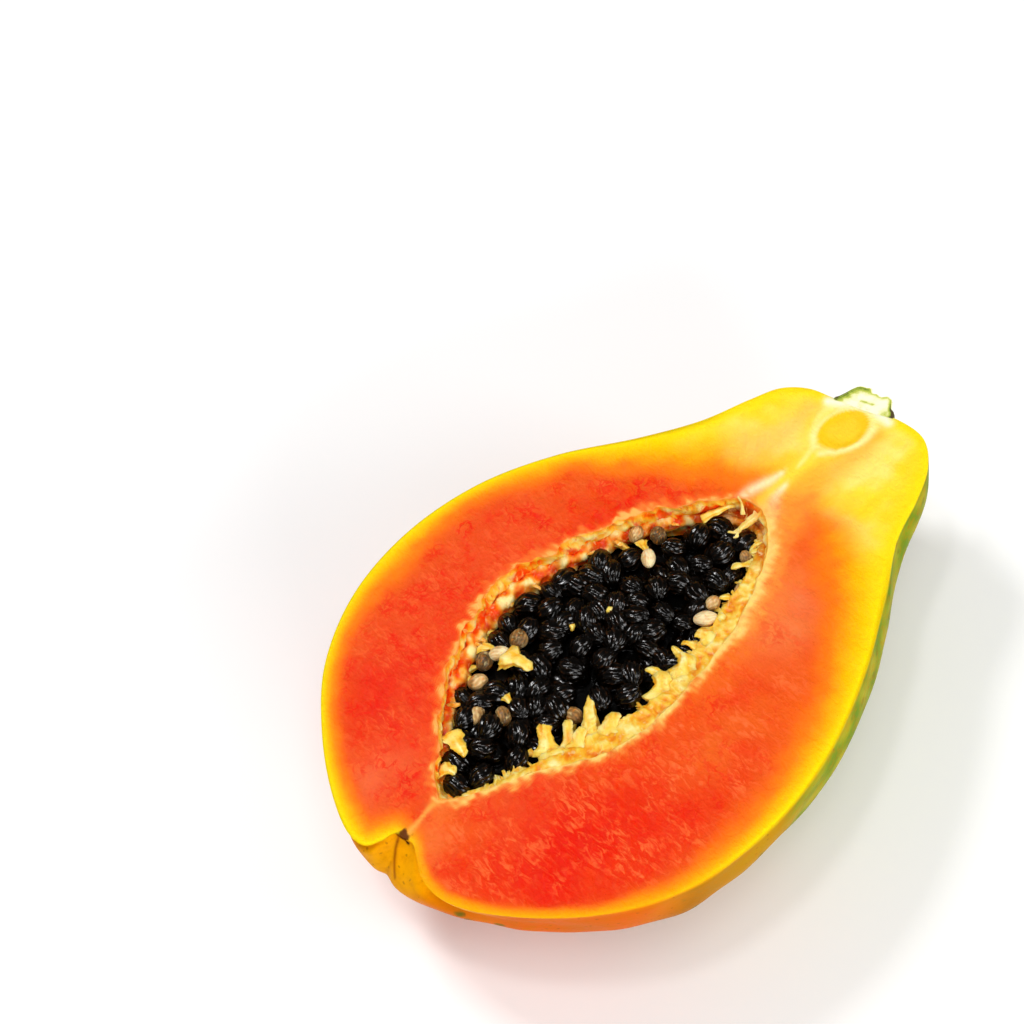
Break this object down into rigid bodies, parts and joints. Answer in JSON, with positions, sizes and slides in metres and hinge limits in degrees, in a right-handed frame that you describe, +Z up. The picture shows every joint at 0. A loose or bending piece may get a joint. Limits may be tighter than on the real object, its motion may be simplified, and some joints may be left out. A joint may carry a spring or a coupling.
{
  "type": "papaya half",
  "caption": "Ripe papaya cut lengthwise, one half lying on its skin, with orange flesh, black seeds in the open cavity and the cut stalk stub.",
  "frame": {"origin": "middle of the small flat rest spot under the fruit, at table height", "axes": "+Z up, square to the cut face; +X along the fruit towards the stalk; +Y to the side where the cavity wall is steep"},
  "size_m": [0.1711, 0.1146, 0.0486],
  "materials": {
    "fruit": "moist red-orange flesh with a yellow rim, satin green and yellow skin",
    "stalk": "pale cut stalk with a rough green edge",
    "seed": "wet black, wrinkled lengthwise",
    "placenta": "moist pale yellow fibres and pale unripe seeds"
  },
  "bodies": {
    "root": {"fruit_half": "fruit", "stalk_stub": "stalk", "seeds_black": "seed", "placenta": "placenta"}
  },
  "joints": []
}
